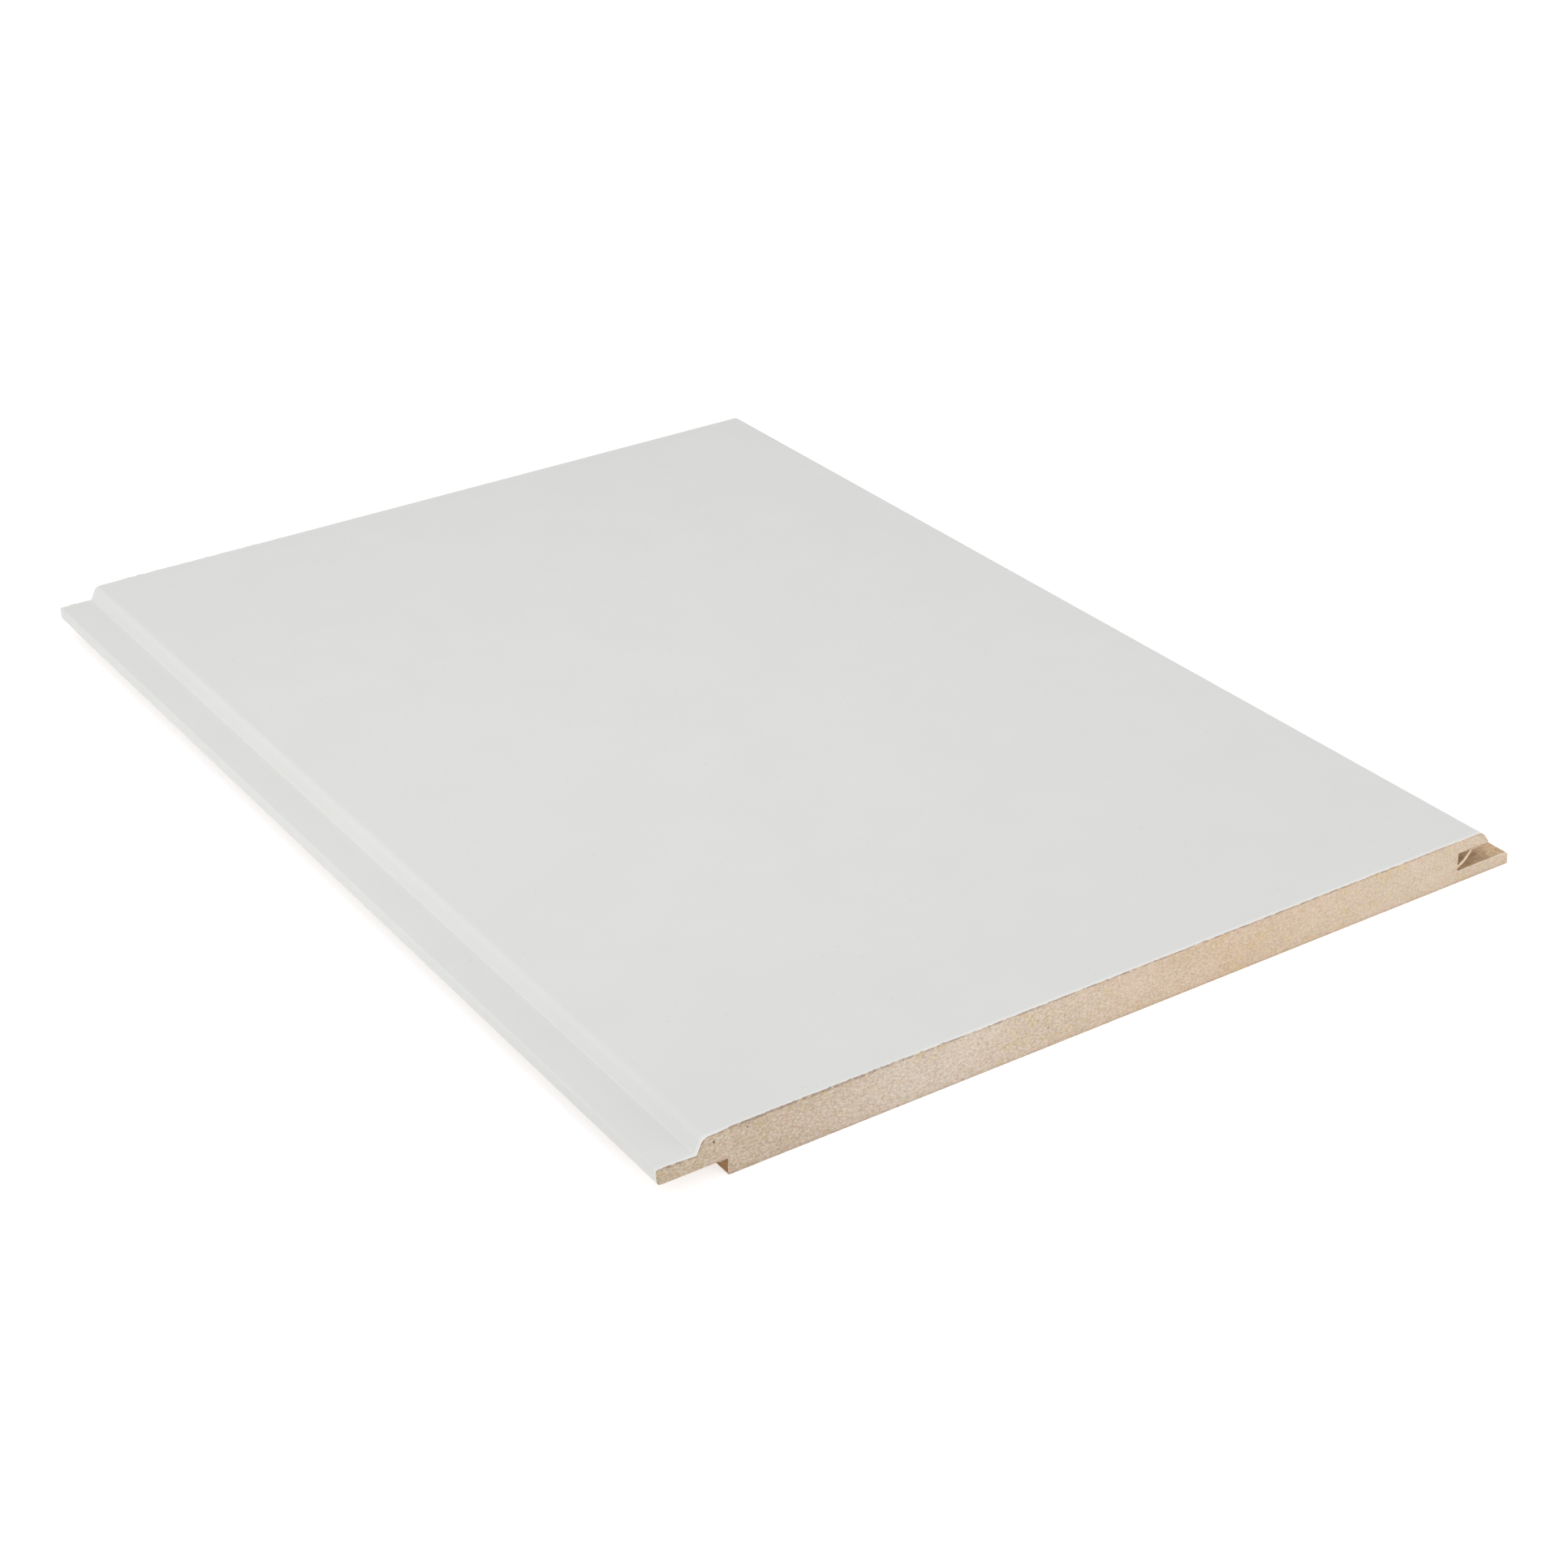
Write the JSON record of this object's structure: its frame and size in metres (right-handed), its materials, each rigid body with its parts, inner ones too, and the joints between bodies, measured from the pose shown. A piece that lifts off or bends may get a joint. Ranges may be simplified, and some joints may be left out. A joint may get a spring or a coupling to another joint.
{
  "type": "mdf panel",
  "caption": "Short length of white painted MDF lining board, with a moulded tongue along one edge and a groove along the other, sawn square at both ends.",
  "frame": {"origin": "middle of the overall width and of the length, on the back face", "axes": "+X across the panel from the tongue towards the groove, +Y along its length, +Z out of the painted face"},
  "size_m": [0.203, 0.285, 0.01],
  "materials": {
    "painted_mdf": "satin"
  },
  "bodies": {
    "root": {"panel": "painted_mdf"}
  },
  "joints": []
}
